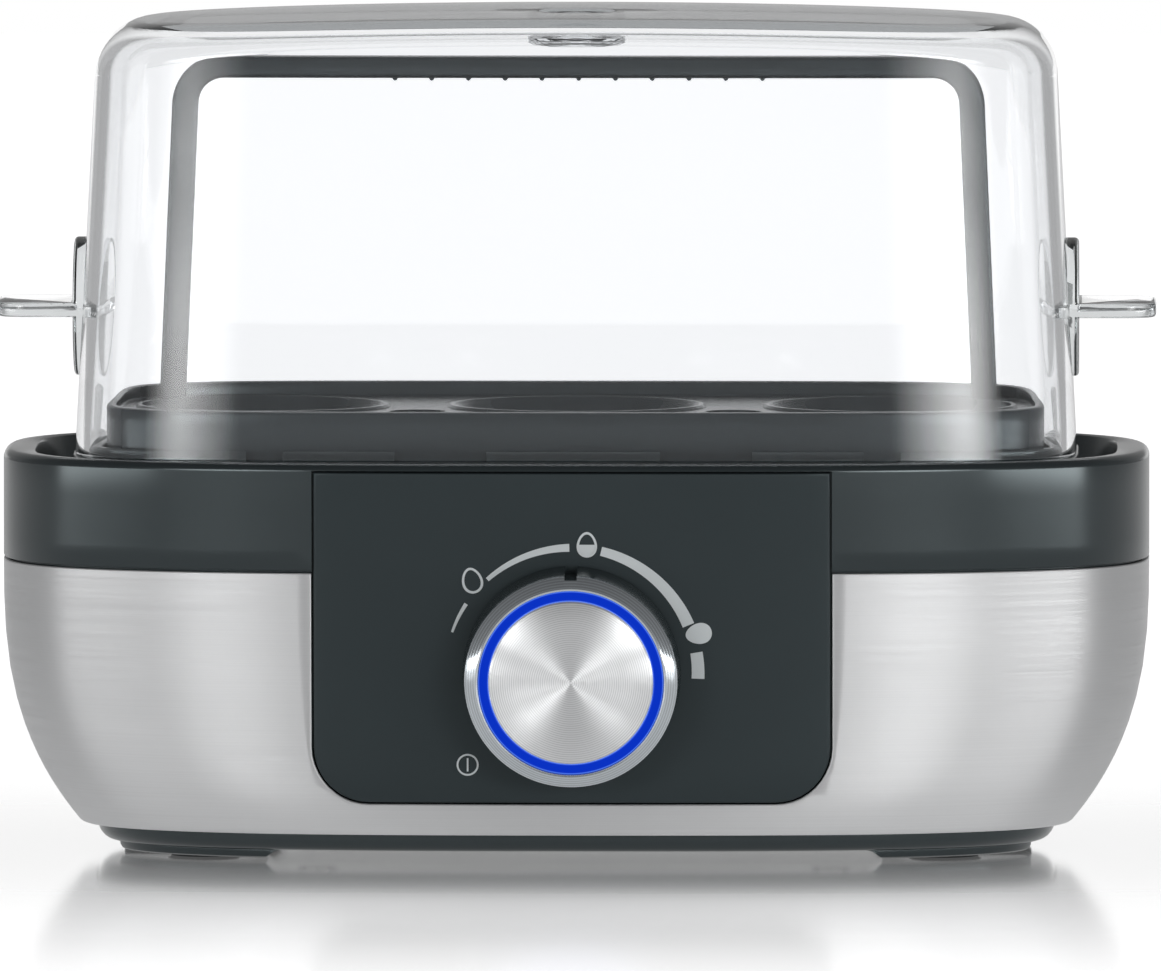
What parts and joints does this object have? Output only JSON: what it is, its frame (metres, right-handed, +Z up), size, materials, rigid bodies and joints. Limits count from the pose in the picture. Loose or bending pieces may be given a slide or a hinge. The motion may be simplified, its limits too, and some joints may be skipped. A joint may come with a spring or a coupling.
{
  "type": "egg boiler",
  "caption": "Household egg boiler: long steel-wrapped body with a heated bowl, lift-out egg tray with a carrying arch, clear cover and lit control knob.",
  "frame": {"origin": "middle of the footprint of the whole boiler, at the surface it stands on", "axes": "+X along the body, the control side faces -Y, +Z up"},
  "size_m": [0.1902, 0.11, 0.1375],
  "materials": {
    "dark_plastic": "satin moulded plastic, dark grey",
    "panel_plastic": "fine matt plastic, dark grey",
    "brushed_steel": "brushed lengthwise",
    "bowl_steel": "drawn and polished",
    "clear_plastic": "clear, faint grey tint",
    "chrome": "bright turned metal",
    "spun_aluminium": "turned in fine rings",
    "plain_aluminium": "plain",
    "zinc_steel": "zinc plated",
    "lit_blue": "translucent, lit blue",
    "rubber": "matt",
    "silicone": "matt",
    "board": "lacquered",
    "component": "moulded",
    "ceramic": "unglazed"
  },
  "bodies": {
    "housing": {"upper_housing": "dark_plastic", "control_panel": "panel_plastic", "steel_jacket": "brushed_steel", "base_shell": "dark_plastic", "foot_pad_1": "rubber", "foot_pad_2": "rubber", "foot_pad_3": "rubber", "foot_pad_4": "rubber", "base_screw_1": "zinc_steel", "base_screw_2": "zinc_steel", "base_screw_3": "zinc_steel", "base_screw_4": "zinc_steel", "heating_bowl": "bowl_steel", "bowl_seal": "silicone", "heat_spreader": "plain_aluminium", "heating_element": "zinc_steel", "element_clamp": "zinc_steel", "clamp_nut": "zinc_steel", "temperature_sensor": "plain_aluminium", "sensor_bracket": "zinc_steel", "thermal_fuse": "ceramic", "fuse_clip": "zinc_steel", "cord_gland": "rubber", "cord_clamp": "component", "cord_clamp_screw_1": "zinc_steel", "cord_clamp_screw_2": "zinc_steel", "terminal_block": "ceramic", "potentiometer": "component", "potentiometer_nut": "zinc_steel", "control_board": "board", "board_screw_1": "zinc_steel", "board_screw_2": "zinc_steel", "ring_lamp_1": "lit_blue", "ring_lamp_2": "lit_blue", "ring_lamp_3": "lit_blue", "ring_lamp_4": "lit_blue", "buzzer": "component", "relay": "component", "supply_capacitor": "component"},
    "carrier": {"egg_tray": "dark_plastic", "carry_arch": "dark_plastic"},
    "cover": {"clear_cover": "clear_plastic"},
    "knob": {"knob_core": "dark_plastic", "knob_sleeve": "chrome", "knob_light_ring": "lit_blue", "knob_cap": "spun_aluminium", "knob_shaft": "zinc_steel"}
  },
  "joints": [
    {"name": "carrier_lift", "type": "slide", "parent": "housing", "child": "carrier", "axis": [0, 0, 1], "range_m": [0, 0.1]},
    {"name": "cover_lift", "type": "slide", "parent": "carrier", "child": "cover", "axis": [0, 0, 1], "range_m": [0, 0.1]},
    {"name": "knob_turn", "type": "hinge", "parent": "housing", "child": "knob", "pos_m": [0, -0.04346, 0.0318], "axis": [0, 0.9954, 0.0958], "range_deg": [-132, 95]}
  ]
}
